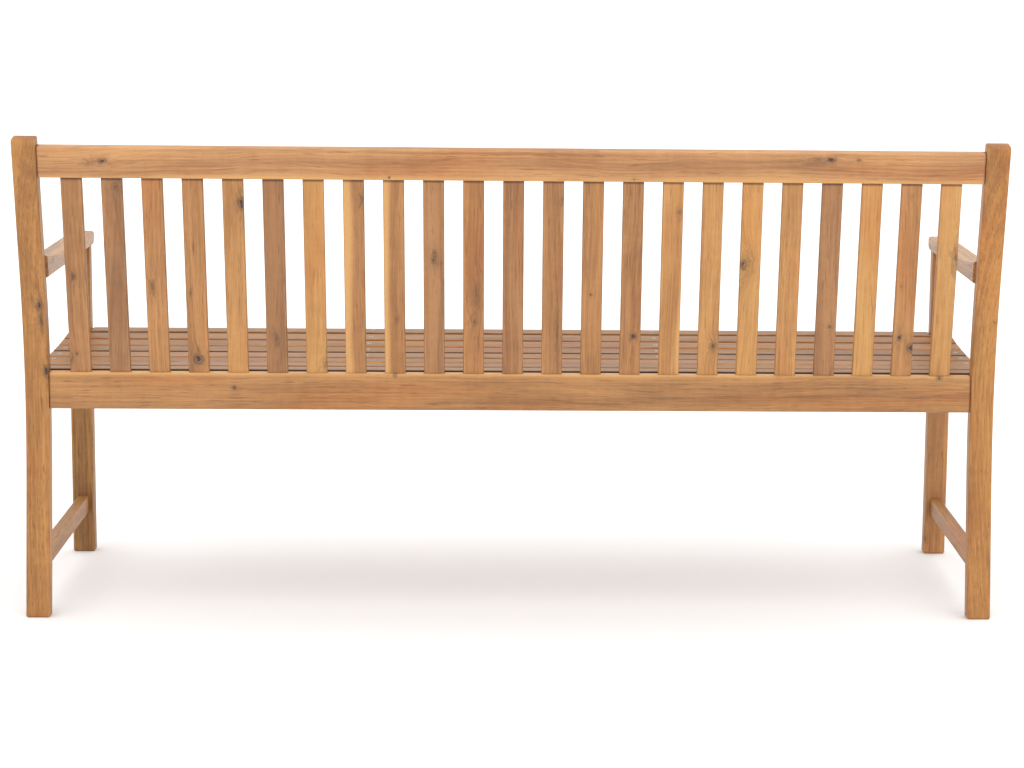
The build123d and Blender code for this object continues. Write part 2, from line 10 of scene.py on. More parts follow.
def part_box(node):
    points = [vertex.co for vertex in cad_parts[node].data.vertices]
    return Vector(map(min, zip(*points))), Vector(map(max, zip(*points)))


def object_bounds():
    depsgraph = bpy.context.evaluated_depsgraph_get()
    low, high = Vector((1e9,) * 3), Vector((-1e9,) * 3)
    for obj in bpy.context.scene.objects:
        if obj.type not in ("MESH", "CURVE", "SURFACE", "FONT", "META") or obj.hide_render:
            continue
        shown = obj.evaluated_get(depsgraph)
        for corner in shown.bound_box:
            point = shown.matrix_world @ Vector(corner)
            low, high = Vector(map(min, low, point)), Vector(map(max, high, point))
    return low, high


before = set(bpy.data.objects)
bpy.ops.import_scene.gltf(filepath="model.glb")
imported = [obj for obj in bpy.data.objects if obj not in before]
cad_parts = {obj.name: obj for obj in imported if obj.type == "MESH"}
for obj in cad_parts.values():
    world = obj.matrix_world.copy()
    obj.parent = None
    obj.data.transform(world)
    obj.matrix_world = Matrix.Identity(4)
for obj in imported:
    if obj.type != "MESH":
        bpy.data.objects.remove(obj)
cad_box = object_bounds()

MM = 0.001


# ---------------------------------------------------------------- node wiring
class Wiring:
    """Short calls for adding and joining nodes in one shader tree."""

    def __init__(self, tree):
        self.tree = tree

    def add(self, kind, **settings):
        node = self.tree.nodes.new(kind)
        for name, value in settings.items():
            setattr(node, name, value)
        return node

    def feed(self, socket, value):
        """Joins a socket, or sets a number, vector or colour."""
        if isinstance(value, bpy.types.NodeSocket):
            self.tree.links.new(value, socket)
        elif value is not None:
            socket.default_value = value

    def math(self, operation, *values):
        node = self.add("ShaderNodeMath", operation=operation)
        for socket, value in zip(node.inputs, values):
            self.feed(socket, value)
        return node.outputs[0]

    def vector(self, operation, first, second=None):
        node = self.add("ShaderNodeVectorMath", operation=operation)
        self.feed(node.inputs[0], first)
        self.feed(node.inputs[1], second)
        return node.outputs["Value" if operation == "LENGTH" else "Vector"]

    def split(self, vector):
        node = self.add("ShaderNodeSeparateXYZ")
        self.feed(node.inputs[0], vector)
        return list(node.outputs)

    def join(self, x, y, z):
        node = self.add("ShaderNodeCombineXYZ")
        for socket, value in zip(node.inputs, (x, y, z)):
            self.feed(socket, value)
        return node.outputs[0]

    def noise(self, vector, detail=2.0, roughness=0.5):
        """Noise from about -0.5 to 0.5, one wave per unit of the vector."""
        node = self.add("ShaderNodeTexNoise", noise_dimensions="3D")
        self.feed(node.inputs["Vector"], vector)
        self.feed(node.inputs["Scale"], 1.0)
        self.feed(node.inputs["Detail"], detail)
        self.feed(node.inputs["Roughness"], roughness)
        return self.math("SUBTRACT", node.outputs["Fac"], 0.5)

    def fade(self, value, low, high, at_low=0.0, at_high=1.0):
        """Smooth step of a value between two levels."""
        node = self.add("ShaderNodeMapRange", interpolation_type="SMOOTHSTEP")
        for socket, number in zip(node.inputs, (value, low, high, at_low, at_high)):
            self.feed(socket, number)
        return node.outputs[0]

    def blend(self, share, first, second, mode="MIX"):
        node = self.add("ShaderNodeMix", data_type="RGBA", blend_type=mode)
        self.feed(node.inputs[0], share)
        self.feed(node.inputs[6], first)
        self.feed(node.inputs[7], second)
        return node.outputs[2]

    def bell(self, value, sharpness):
        """exp(-sharpness * value squared)."""
        square = self.math("MULTIPLY", value, value)
        return self.math("EXPONENT", self.math("MULTIPLY", square, -sharpness))


def new_group(name, inputs, outputs):
    """Shader node group with named sockets: the group, its wiring, its inputs and its output node."""
    group = bpy.data.node_groups.new(name, "ShaderNodeTree")
    for label, kind in inputs.items():
        group.interface.new_socket(label, in_out="INPUT", socket_type="NodeSocket" + kind)
    for label, kind in outputs.items():
        group.interface.new_socket(label, in_out="OUTPUT", socket_type="NodeSocket" + kind)
    wire = Wiring(group)
    source = wire.add("NodeGroupInput")
    target = wire.add("NodeGroupOutput")
    return group, wire, {socket.name: socket for socket in source.outputs if socket.name}, target


def place(wire, group, values):
    """Puts a group in a tree and feeds its named inputs."""
    node = wire.add("ShaderNodeGroup", node_tree=group)
    for name, value in values.items():
        wire.feed(node.inputs[name], value)
    return node


def colour(red, green, blue):
    """Linear colour from screen values of 0 to 255."""
    levels = [level / 255 for level in (red, green, blue)]
    return tuple(v / 12.92 if v <= 0.04045 else ((v + 0.055) / 1.055) ** 2.4 for v in levels) + (1.0,)


KNOT_SLANT = 0.35          # how far a knot's branch leans across the board for each metre of depth
KNOT_REACH = 1.2           # a knot's drawn radius over its stated one
RUSSET_TINT = (1.0, 0.86, 0.74, 1.0)
WORN_WOOD = colour(226, 178, 124)
# painted shade: the dark band at each joint stands in for the shadow that falls there
PAINTED_JOINT_SHADE = (0.3, 0.2, 0.15, 1.0)


# ---------------------------------------------------------------- wood groups
def knot_group():
    """One knot whose branch runs through the board's depth.

    Its radii are the elliptic distance in the board's face over the knot's radius, warped
    by noise. Rings are pushed out by a wide bell curve of it; the rim is a narrow bell. A
    smear runs along the grain on both sides.
    """
    inputs = {"Vector": "Vector", "Along": "Float", "Across": "Float", "Radius": "Float"}
    inputs.update({"Stretch": "Float", "Strength": "Float", "Seed": "Float"})
    inputs.update({"Bend": "Float", "Dark": "Float"})
    group, wire, given, target = new_group("knot", inputs, {"Bend": "Float", "Dark": "Float"})
    x, y, z = wire.split(given["Vector"])
    waves = wire.vector("MULTIPLY", given["Vector"], (90.0, 170.0, 60.0))
    warp = wire.noise(wire.vector("ADD", waves, wire.join(given["Seed"], given["Seed"], 0.0)), 3.0)
    along = wire.math("DIVIDE", wire.math("SUBTRACT", x, given["Along"]), given["Stretch"])
    across = wire.math("SUBTRACT", y, wire.math("MULTIPLY_ADD", z, KNOT_SLANT, given["Across"]))
    radii = wire.math("DIVIDE", wire.vector("LENGTH", wire.join(along, across, 0.0)), given["Radius"])
    radii = wire.math("MULTIPLY_ADD", warp, 1.9, radii)
    around = wire.bell(radii, 0.22)
    swell = wire.math("MULTIPLY", around, 0.32)
    push = wire.math("MULTIPLY", around, wire.math("MULTIPLY", given["Radius"], 1.7))
    rim = wire.math("MULTIPLY", wire.bell(wire.math("SUBTRACT", radii, 1.0), 5.0), 0.62)
    core = wire.math("MULTIPLY", wire.fade(radii, 0.95, 0.35), wire.fade(warp, 0.3, -0.15, 0.55, 1.1))
    beside = wire.bell(wire.math("DIVIDE", across, given["Radius"]), 1.6)
    smear = wire.math("MULTIPLY", beside, wire.bell(wire.math("DIVIDE", along, given["Radius"]), 0.05))
    smear = wire.math("MULTIPLY", smear, wire.fade(warp, -0.15, 0.2, 0.0, 0.5))
    dark = wire.math("MAXIMUM", wire.math("MAXIMUM", rim, core), wire.math("MAXIMUM", smear, swell))
    dark = wire.math("MULTIPLY", dark, given["Strength"])
    wire.feed(target.inputs["Bend"], wire.math("ADD", push, given["Bend"]))
    wire.feed(target.inputs["Dark"], wire.math("MAXIMUM", dark, given["Dark"]))
    return group


def acacia_group():
    """Figure of one sawn acacia board, with X along the grain.

    The growth ring at a point is its distance from the pith, which wanders along the
    board, over the ring width. Noise that is constant along a ring gives its tone, the
    fraction of a ring gives its dark late wood, and sapwood starts at a set distance.
    Fibres and pores are noise drawn out along the grain.
    """
    inputs = {"Vector": "Vector", "Seed": "Float", "Pith across": "Float", "Pith depth": "Float"}
    inputs.update({"Ring width": "Float", "Wander": "Float", "Sapwood from": "Float"})
    inputs.update({"Bend": "Float", "Knot": "Float", "Contrast": "Float", "Base roughness": "Float"})
    inputs.update({"Light": "Color", "Dark": "Color", "Sapwood": "Color", "Knot colour": "Color"})
    outputs = {"Color": "Color", "Roughness": "Float", "Height": "Float"}
    group, wire, given, target = new_group("acacia", inputs, outputs)
    seed = given["Seed"]
    shift = wire.join(seed, wire.math("MULTIPLY", seed, 1.7), wire.math("MULTIPLY", seed, 2.3))
    in_log = wire.vector("ADD", given["Vector"], shift)
    flow = wire.noise(wire.vector("MULTIPLY", in_log, (3.4, 8.0, 8.0)), 1.0)
    flow = wire.math("MULTIPLY_ADD", flow, 0.032, given["Bend"])
    place_in_log = wire.vector("ADD", in_log, wire.join(0.0, flow, 0.0))

    def drawn_out(along, across, detail=2.0, roughness=0.5):
        waves = wire.vector("MULTIPLY", place_in_log, (along, across, across))
        return wire.noise(waves, detail, roughness)

    x, y, z = wire.split(given["Vector"])
    wander_across = wire.math("MULTIPLY", drawn_out(1.7, 4.0, 1.0), given["Wander"])
    wander_depth = wire.math("MULTIPLY", drawn_out(2.3, 3.0, 1.0), given["Wander"])
    from_pith_y = wire.math("ADD", wire.math("SUBTRACT", y, given["Pith across"]), wander_across)
    from_pith_z = wire.math("ADD", wire.math("SUBTRACT", z, given["Pith depth"]), wander_depth)
    distance = wire.vector("LENGTH", wire.join(0.0, from_pith_y, from_pith_z))
    distance = wire.math("ADD", distance, given["Bend"])
    distance = wire.math("MULTIPLY_ADD", drawn_out(7.0, 45.0, 3.0), 0.005, distance)
    rings = wire.math("DIVIDE", distance, given["Ring width"])
    drift = wire.math("MULTIPLY", x, 0.7)
    ring_tone = wire.noise(wire.join(rings, drift, seed), 3.0, 0.6)
    band_tone = wire.noise(wire.join(wire.math("MULTIPLY", rings, 0.22), drift, seed), 1.0)
    late = wire.math("POWER", wire.math("FRACT", rings), 4.0)
    late = wire.math("MULTIPLY", late, wire.fade(ring_tone, -0.25, 0.25))
    streak = drawn_out(13.0, 640.0, 3.0, 0.6)
    line = drawn_out(9.0, 250.0, 5.0, 0.75)
    fleck = wire.fade(drawn_out(22.0, 380.0, 1.0), 0.12, 0.22)
    fibre = drawn_out(45.0, 2400.0, 2.0)
    mottle = drawn_out(5.0, 24.0, 3.0)
    ripple = drawn_out(70.0, 30.0, 1.0)
    pore = wire.fade(drawn_out(150.0, 3600.0, 0.0), 0.14, 0.24)

    tone = wire.math("MULTIPLY_ADD", ring_tone, 1.0, 0.56)
    tone = wire.math("MULTIPLY_ADD", band_tone, 0.9, tone)
    tone = wire.math("MULTIPLY_ADD", streak, 0.5, tone)
    tone = wire.math("MULTIPLY_ADD", line, 1.2, tone)
    tone = wire.math("MULTIPLY_ADD", fleck, -0.42, tone)
    tone = wire.math("MULTIPLY_ADD", mottle, 0.8, tone)
    tone = wire.math("MULTIPLY_ADD", ripple, 0.2, tone)
    tone = wire.math("MULTIPLY_ADD", fibre, 0.35, tone)
    tone = wire.math("MULTIPLY_ADD", late, -0.3, tone)
    tone = wire.math("MULTIPLY_ADD", wire.math("SUBTRACT", tone, 0.5), given["Contrast"], 0.5)
    heart = wire.blend(wire.fade(tone, -0.1, 1.1), given["Dark"], given["Light"])
    flush = wire.fade(drawn_out(3.1, 14.0, 1.0), -0.02, 0.22)
    heart = wire.blend(wire.math("MULTIPLY", flush, 0.8), heart, RUSSET_TINT, "MULTIPLY")
    sap_tone = wire.math("MULTIPLY_ADD", streak, 0.5, wire.math("MULTIPLY_ADD", mottle, 0.6, 0.75))
    sapwood = wire.blend(wire.fade(sap_tone, 0.0, 1.0), given["Light"], given["Sapwood"])
    edge_of_sap = wire.math("SUBTRACT", distance, given["Sapwood from"])
    wood = wire.blend(wire.fade(edge_of_sap, -0.004, 0.006), heart, sapwood)
    wood = wire.blend(wire.math("MULTIPLY", pore, 0.4), wood, given["Dark"])
    wood = wire.blend(given["Knot"], wood, given["Knot colour"])
    wire.feed(target.inputs["Color"], wood)

    rough = wire.math("MULTIPLY_ADD", streak, 0.16, given["Base roughness"])
    rough = wire.math("MULTIPLY_ADD", mottle, 0.12, rough)
    wire.feed(target.inputs["Roughness"], wire.math("MULTIPLY_ADD", pore, 0.2, rough))
    height = wire.math("MULTIPLY_ADD", streak, 0.6, wire.math("MULTIPLY", fibre, 0.5))
    height = wire.math("MULTIPLY_ADD", pore, -0.5, height)
    height = wire.math("MULTIPLY_ADD", late, -0.25, height)
    wire.feed(target.inputs["Height"], wire.math("MULTIPLY_ADD", given["Knot"], -0.4, height))
    return group


def wear_and_painted_light_group():
    """Colour change at a board's worn arrises, its sawn ends, painted light and shade on its edge faces
    and painted shade at its joints.

    Arrises are where both cross coordinates come within a few millimetres of the board's
    faces. Edge faces look across the board's wide face, and ends along the grain. Painted
    shade darkens the grain past the two joint places.
    """
    inputs = {"Vector": "Vector", "Facing": "Vector", "Color": "Color", "Half width": "Float"}
    inputs.update({"Half depth": "Float", "Seed": "Float", "Edge light and shade": "Color", "End tint": "Color"})
    inputs.update({"Joint above": "Float", "Joint below": "Float"})
    outputs = {"Color": "Color"}
    group, wire, given, target = new_group("worn arrises, ends and painted light", inputs, outputs)
    x, y, z = wire.split(given["Vector"])
    near_side = wire.math("SUBTRACT", given["Half width"], wire.math("ABSOLUTE", y))
    near_face = wire.math("SUBTRACT", given["Half depth"], wire.math("ABSOLUTE", z))
    in_both = wire.math("MAXIMUM", near_side, near_face)
    patch_x, patch_y = wire.math("MULTIPLY", x, 26.0), wire.math("MULTIPLY", y, 60.0)
    patch = wire.noise(wire.join(patch_x, patch_y, given["Seed"]), 3.0)
    worn = wire.math("MULTIPLY", wire.fade(in_both, 0.0042, 0.0006), wire.fade(patch, -0.22, 0.2))
    face_x, face_y = wire.split(given["Facing"])[:2]
    edge = wire.fade(wire.math("ABSOLUTE", face_y), 0.3, 0.8)
    sawn = wire.fade(wire.math("ABSOLUTE", face_x), 0.6, 0.95)
    # painted shade in a band a few mm wide at each joint place
    joint_shade_above = wire.fade(wire.math("SUBTRACT", x, given["Joint above"]), -0.0045, -0.0005)
    joint_shade_below = wire.fade(wire.math("ADD", x, given["Joint below"]), 0.0045, 0.0005)
    joint_shade = wire.math("MULTIPLY", wire.math("ADD", joint_shade_above, joint_shade_below), 0.85)
    shade = wire.blend(wire.math("MULTIPLY", worn, 0.25), given["Color"], WORN_WOOD)
    # painted light and shade on the faces that look across the board's wide face
    shade = wire.blend(edge, shade, given["Edge light and shade"], "MULTIPLY")
    shade = wire.blend(sawn, shade, given["End tint"], "MULTIPLY")
    shade = wire.blend(joint_shade, shade, PAINTED_JOINT_SHADE, "MULTIPLY")
    wire.feed(target.inputs["Color"], shade)
    return group


KNOT = knot_group()
ACACIA = acacia_group()
WEAR_AND_PAINTED_LIGHT = wear_and_painted_light_group()

# ---------------------------------------------------------------- tones and boards
TONES = {
    "pale": (colour(203, 152, 89), colour(160, 109, 58)),
    "honey": (colour(198, 145, 85), colour(149, 101, 56)),
    "tan": (colour(188, 134, 80), colour(139, 93, 53)),
    "brown": (colour(181, 128, 78), colour(130, 87, 50)),
    "dark": (colour(174, 124, 79), colour(124, 84, 52)),
    "deep": (colour(162, 114, 72), colour(116, 78, 48)),
    "rear rail": (colour(184, 132, 79), colour(126, 85, 49)),
    "top rail": (colour(199, 147, 95), colour(146, 99, 61)),
    "leg": (colour(184, 129, 68), colour(134, 87, 42)),
    "seat": (colour(166, 119, 70), colour(112, 77, 42)),
    "arm": (colour(186, 142, 96), colour(120, 88, 58)),
    "frame": (colour(177, 126, 76), colour(121, 81, 47)),
    "stretcher": (colour(188, 134, 76), colour(130, 87, 48)),
    "olive": (colour(177, 127, 66), colour(117, 79, 39)),
    "post": (colour(190, 134, 69), colour(142, 93, 45)),
}
SAPWOOD = colour(205, 155, 94)
KNOT_COLOUR = colour(62, 45, 37)
NO_TINT = (1.0, 1.0, 1.0, 1.0)
# painted shade on the back slats' edge faces
PAINTED_SIDE_SHADE = (0.74, 0.68, 0.62, 1.0)
# painted light and shade on the seat slats' edge faces, from brightly lit orange through dim to deep
# shadow
PAINTED_LIT_EDGE = (1.8, 1.35, 0.5, 1.0)
PAINTED_HALF_LIT_EDGE = (1.0, 0.75, 0.34, 1.0)
PAINTED_DIM_EDGE = (0.85, 0.7, 0.48, 1.0)
PAINTED_SHADOW_EDGE = (0.26, 0.17, 0.1, 1.0)
PAINTED_DEEP_SHADOW_EDGE = (0.14, 0.1, 0.08, 1.0)
END_TINT = (0.9, 0.76, 0.46, 1.0)
SLAT_TENON = 14.7          # a back slat's tenon and the shaded strip beside it, mm

rng = random.Random(41)


def panel_lean():
    """Angle that the back panel leans, from the rear rail's top to the top rail's middle."""
    low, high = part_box("rear_rail")
    top_low, top_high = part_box("top_rail")
    rise = (top_low[2] + top_high[2]) / 2 - high[2]
    back = (top_low[1] + top_high[1]) / 2 - (low[1] + high[1]) / 2
    return math.atan2(back, rise)


LEAN = panel_lean()
X, Y, Z = Vector((1, 0, 0)), Vector((0, 1, 0)), Vector((0, 0, 1))
UP_PANEL = Vector((0, math.sin(LEAN), math.cos(LEAN)))
# node name's start: directions along the grain and across the board's wide face
GRAIN = {
    "rear_leg": (Z, X), "front_leg": (Z, X), "armrest": (Y, X), "side_rail": (Y, Z),
    "side_stretcher": (Y, Z), "top_rail": (X, UP_PANEL), "rear_rail": (X, Z), "front_rail": (X, Z),
    "seat_bearer": (Y, Z), "back_slat": (UP_PANEL, X), "seat_slat": (X, Y), "locating_dowels": (X, Y),
}


def grain_of(node):
    return next(axes for start, axes in GRAIN.items() if node.startswith(start))


def middle_of(node):
    low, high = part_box(node)
    return (Vector(low) + Vector(high)) / 2


def half_size(node, direction):
    """Half of the node's reach along a direction, which may lean."""
    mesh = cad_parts[node].data
    corners = np.empty(3 * len(mesh.vertices))
    mesh.vertices.foreach_get("co", corners)
    return float(np.ptp(corners.reshape(-1, 3) @ np.array(direction))) / 2


def slat_spacing():
    """Distance between the middles of neighbouring back slats."""
    return abs(middle_of("back_slat_13").x - middle_of("back_slat_12").x)


def joint_places(node):
    """Distances from the board's middle, up and down its grain, where shade is painted at a joint."""
    along, across = grain_of(node)
    half_length = half_size(node, along)
    if node in ("top_rail", "rear_rail", "front_rail"):
        return half_length, half_length
    if node.startswith("back_slat"):
        return half_length - SLAT_TENON * MM, 1.0
    return 1.0, 1.0


def board_material(node, tone, pith=(-60, 45), ring=7.0, wander=34.0, sapwood=None, contrast=1.0,
                   edge=NO_TINT, roughness=0.46, specular=0.45, knots=()):
    """Acacia finish of one board.

    pith is across and through the board from its middle, and sapwood is the distance from
    the pith where it starts, in mm. Each knot has its place along and across the board's
    back face, its radius in mm, its stretch along the grain and its strength. Along is in
    slat spacings on a rail and in half lengths elsewhere, and across is in half widths.
    """
    along, across = grain_of(node)
    through = along.cross(across)
    half_width, half_depth = half_size(node, across), half_size(node, through)
    step = slat_spacing() if node.endswith("_rail") else half_size(node, along)
    back_face = 0.0 if "leg" in node else math.copysign(half_depth, through.y)
    turn = Matrix((along, across, through)).transposed()
    material = bpy.data.materials.new(node + "_acacia")
    material.use_nodes = True
    wire = Wiring(material.node_tree)
    wire.tree.nodes.clear()
    coordinates = wire.add("ShaderNodeTexCoord")
    local = wire.add("ShaderNodeMapping", vector_type="TEXTURE")
    wire.feed(local.inputs["Vector"], coordinates.outputs["Object"])
    wire.feed(local.inputs["Location"], middle_of(node))
    wire.feed(local.inputs["Rotation"], turn.to_euler())
    facing = wire.add("ShaderNodeMapping", vector_type="TEXTURE")
    wire.feed(facing.inputs["Vector"], coordinates.outputs["Normal"])
    wire.feed(facing.inputs["Rotation"], turn.to_euler())
    seed = rng.uniform(0.0, 60.0)
    bend, dark = 0.0, 0.0
    for at, side, radius, stretch, strength in knots:
        side = side * half_width - KNOT_SLANT * back_face
        values = {"Vector": local.outputs[0], "Along": at * step, "Across": side, "Strength": strength}
        values.update({"Radius": KNOT_REACH * radius * MM, "Stretch": stretch, "Seed": seed})
        values.update({"Bend": bend, "Dark": dark})
        knot = place(wire, KNOT, values)
        bend, dark = knot.outputs["Bend"], knot.outputs["Dark"]
    light, deep = TONES[tone]
    far = 1.0 if sapwood is None else sapwood * MM
    values = {"Vector": local.outputs[0], "Seed": seed}
    values.update({"Pith across": pith[0] * MM, "Pith depth": pith[1] * MM})
    values.update({"Ring width": ring * MM, "Wander": wander * MM, "Sapwood from": far, "Bend": bend})
    values.update({"Knot": dark, "Contrast": contrast, "Light": light, "Dark": deep})
    values["Base roughness"] = roughness
    values.update({"Sapwood": SAPWOOD, "Knot colour": KNOT_COLOUR})
    figure = place(wire, ACACIA, values)
    above, below = joint_places(node)
    values = {"Vector": local.outputs[0], "Facing": facing.outputs[0], "Color": figure.outputs["Color"]}
    values.update({"Half width": half_width, "Half depth": half_depth, "Seed": seed, "Edge light and shade": edge})
    values.update({"End tint": END_TINT, "Joint above": above, "Joint below": below})
    with_wear_and_painted_light = place(wire, WEAR_AND_PAINTED_LIGHT, values)
    bump = wire.add("ShaderNodeBump")
    wire.feed(bump.inputs["Strength"], 0.3)
    wire.feed(bump.inputs["Distance"], 0.35 * MM)
    wire.feed(bump.inputs["Height"], figure.outputs["Height"])
    shader = wire.add("ShaderNodeBsdfPrincipled")
    wire.feed(shader.inputs["Base Color"], with_wear_and_painted_light.outputs["Color"])
    wire.feed(shader.inputs["Roughness"], figure.outputs["Roughness"])
    wire.feed(shader.inputs["Normal"], bump.outputs["Normal"])
    shader.inputs["Specular IOR Level"].default_value = specular
    output = wire.add("ShaderNodeOutputMaterial")
    wire.feed(output.inputs["Surface"], shader.outputs[0])
    return material


def finish_node(node, material):
    """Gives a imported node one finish."""
    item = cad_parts[node]
    for slot in item.material_slots:
        slot.material = material


def random_cut():
    """A pith place, ring width and wander for a board of no special figure."""
    side = rng.choice((-1, 1))
    return {"pith": (side * rng.uniform(15, 90), rng.choice((-1, 1)) * rng.uniform(20, 80)),
            "ring": rng.uniform(4.5, 9.0), "wander": rng.uniform(16, 36)}


BACK_SLATS = 23
SEAT_SLATS = 8

# numbers of the back slats in each tone, counted from the low X end; the others are tan
BACK_TONES = {
    "pale": (1, 3, 6, 17),
    "honey": (5, 7, 8, 19),
    "brown": (9, 11, 16, 23),
    "dark": (4, 12, 14, 22),
    "deep": (18,),
}

# painted light and shade on each seat slat's edge faces, front to back
SEAT_EDGE_LIGHT_AND_SHADE = [PAINTED_DIM_EDGE, PAINTED_HALF_LIT_EDGE, PAINTED_LIT_EDGE, PAINTED_SHADOW_EDGE]
SEAT_EDGE_LIGHT_AND_SHADE += [PAINTED_HALF_LIT_EDGE, PAINTED_LIT_EDGE, PAINTED_HALF_LIT_EDGE, PAINTED_DEEP_SHADOW_EDGE]

# figure of the boards that stand out: knots, sapwood, and where their pith lay
FIGURES = {
    "back_slat_23": {
        "knots": ((0.0, 0.2, 3.0, 1.4, 0.8), (-0.75, 0.3, 1.8, 1.2, 0.8), (-0.8, 0.8, 3.2, 2.6, 0.6)),
    },
    "back_slat_22": {"knots": ((0.85, -0.3, 4.2, 1.3, 0.45),)},
    "back_slat_21": {"knots": ((-0.1, 0.4, 4.6, 2.2, 0.55),)},
    "back_slat_20": {
        "knots": ((-0.8, 0.0, 6.0, 1.2, 1.0), (-0.15, 0.5, 1.4, 5.0, 0.8), (0.3, 0.1, 1.1, 9.0, 0.6)),
    },
    "back_slat_19": {"knots": ((0.7, -0.8, 5.0, 1.7, 1.0),)},
    "back_slat_18": {"knots": ((-0.6, 0.0, 4.0, 2.2, 0.6),)},
    "back_slat_17": {"knots": ((-0.85, -0.8, 4.0, 3.0, 0.5),)},
    "back_slat_16": {
        "pith": (-44, 24), "sapwood": 54, "wander": 58,
        "knots": ((0.75, -0.95, 3.6, 2.0, 0.6),),
    },
    "back_slat_15": {
        "pith": (-46, 20), "sapwood": 53, "wander": 48,
        "knots": ((-0.4, -0.2, 2.4, 1.4, 0.5),),
    },
    "back_slat_14": {"knots": ((0.2, 0.0, 3.8, 2.4, 0.85), (0.15, -0.7, 1.3, 1.3, 0.9))},
    "back_slat_13": {"knots": ((-0.15, -0.3, 4.4, 3.4, 0.6), (-0.4, -0.1, 3.8, 2.8, 0.6))},
    "back_slat_11": {"knots": ((0.75, -0.95, 2.6, 2.2, 0.7), (-0.6, -0.5, 1.8, 20.0, 0.5))},
    "back_slat_10": {"knots": ((-0.15, 0.1, 1.5, 1.1, 1.0),)},
    "back_slat_09": {"knots": ((-0.55, -0.3, 3.6, 1.0, 1.0),), "contrast": 1.25},
    "back_slat_08": {
        "pith": (40, 26), "sapwood": 61, "wander": 34,
        "knots": ((0.65, -0.7, 3.2, 1.2, 0.95),),
    },
    "back_slat_07": {"knots": ((-0.65, -0.5, 4.6, 1.5, 0.75),)},
    "back_slat_06": {"knots": ((0.15, 0.7, 4.4, 1.6, 1.0), (0.15, 0.3, 8.5, 1.9, 0.35))},
    "back_slat_04": {"knots": ((-0.45, -0.4, 2.4, 1.2, 0.7),)},
    "back_slat_02": {
        "knots": ((-0.55, 0.4, 3.4, 1.4, 0.95), (-0.65, -0.8, 4.6, 1.6, 0.9), (-0.05, 0.5, 1.0, 1.2, 0.8)),
    },
    "back_slat_01": {"knots": ((0.2, -0.8, 6.0, 2.8, 0.6),)},
    "top_rail": {
        "pith": (72, -30), "sapwood": 99, "wander": 30, "ring": 6.0,
        "knots": ((10.2, 0.1, 4.2, 1.4, 1.0), (10.4, 0.05, 3.6, 4.5, 0.45), (-7.9, 0.55, 3.2, 1.6, 0.9),
                  (-7.6, 0.5, 4.2, 3.4, 0.55), (-8.6, 0.55, 2.2, 1.2, 0.9), (3.1, -0.8, 1.6, 1.0, 0.9),
                  (-3.0, -0.8, 1.8, 1.0, 0.9)),
    },
    "rear_rail": {
        "pith": (-60, -24), "sapwood": 92, "wander": 14, "ring": 5.5,
        "knots": ((7.1, 0.2, 2.6, 1.1, 1.0), (3.0, 0.9, 2.4, 1.2, 0.9), (-11.0, 0.9, 3.0, 1.6, 0.9)),
    },
    "rear_leg_right": {
        "knots": ((0.3, -0.35, 3.8, 1.8, 1.0), (0.24, -0.4, 3.4, 6.0, 0.65), (0.02, -0.5, 4.0, 2.2, 0.9)),
    },
    "front_leg_left": {"knots": ((-0.9, 0.8, 3.5, 1.3, 0.9),)},
}


def tone_for(number, tones):
    return next((tone for tone, numbers in tones.items() if number in numbers), "tan")


def finish_board(node, tone, **more):
    """Finishes a board with its own figure where it has one, else with a random cut."""
    cut = random_cut()
    cut.update(more)
    cut.update(FIGURES.get(node, {}))
    finish_node(node, board_material(node, tone, **cut))


for number in range(1, BACK_SLATS + 1):
    finish_board(f"back_slat_{number:02d}", tone_for(number, BACK_TONES), edge=PAINTED_SIDE_SHADE)
for number in range(1, SEAT_SLATS + 1):
    edge = SEAT_EDGE_LIGHT_AND_SHADE[number - 1]
    finish_board(f"seat_slat_{number:02d}", "seat", edge=edge, roughness=0.44, specular=0.4)
finish_board("top_rail", "top rail")
finish_board("rear_rail", "rear rail")
for node in ("front_rail", "seat_bearer_01", "seat_bearer_02"):
    finish_board(node, "frame")
for side in ("left", "right"):
    finish_board(f"rear_leg_{side}", "post" if side == "left" else "leg", contrast=1.2)
    finish_board(f"armrest_{side}", "arm", contrast=2.2, roughness=0.42, specular=0.6)
    finish_board(f"side_rail_{side}", "frame")
    finish_board(f"side_stretcher_{side}", "stretcher")
finish_board("front_leg_left", "tan")
finish_board("front_leg_right", "olive", contrast=1.3)
finish_node("locating_dowels", board_material("locating_dowels", "pale"))


# ---------------------------------------------------------------- hardware
def zinc_material():
    """Zinc-plated steel: bright metal with cloudy passivation and fine scratches."""
    material = bpy.data.materials.new("zinc_plate")
    material.use_nodes = True
    wire = Wiring(material.node_tree)
    shader = wire.tree.nodes["Principled BSDF"]
    coordinates = wire.add("ShaderNodeTexCoord").outputs["Object"]
    cloud = wire.noise(wire.vector("MULTIPLY", coordinates, (420.0, 420.0, 420.0)), 3.0)
    scratch = wire.noise(wire.vector("MULTIPLY", coordinates, (300.0, 4000.0, 4000.0)), 2.0)
    shade = wire.fade(wire.math("MULTIPLY_ADD", scratch, 0.4, cloud), -0.35, 0.35)
    wire.feed(shader.inputs["Base Color"], wire.blend(shade, colour(150, 148, 140), colour(206, 205, 198)))
    wire.feed(shader.inputs["Roughness"], wire.math("MULTIPLY_ADD", cloud, 0.25, 0.34))
    shader.inputs["Metallic"].default_value = 1.0
    bump = wire.add("ShaderNodeBump")
    wire.feed(bump.inputs["Strength"], 0.25)
    wire.feed(bump.inputs["Distance"], 0.05 * MM)
    wire.feed(bump.inputs["Height"], scratch)
    wire.feed(shader.inputs["Normal"], bump.outputs["Normal"])
    return material


zinc = zinc_material()
for node in ("connector_bolts", "bolt_washers", "barrel_nuts", "seat_screws"):
    finish_node(node, zinc)


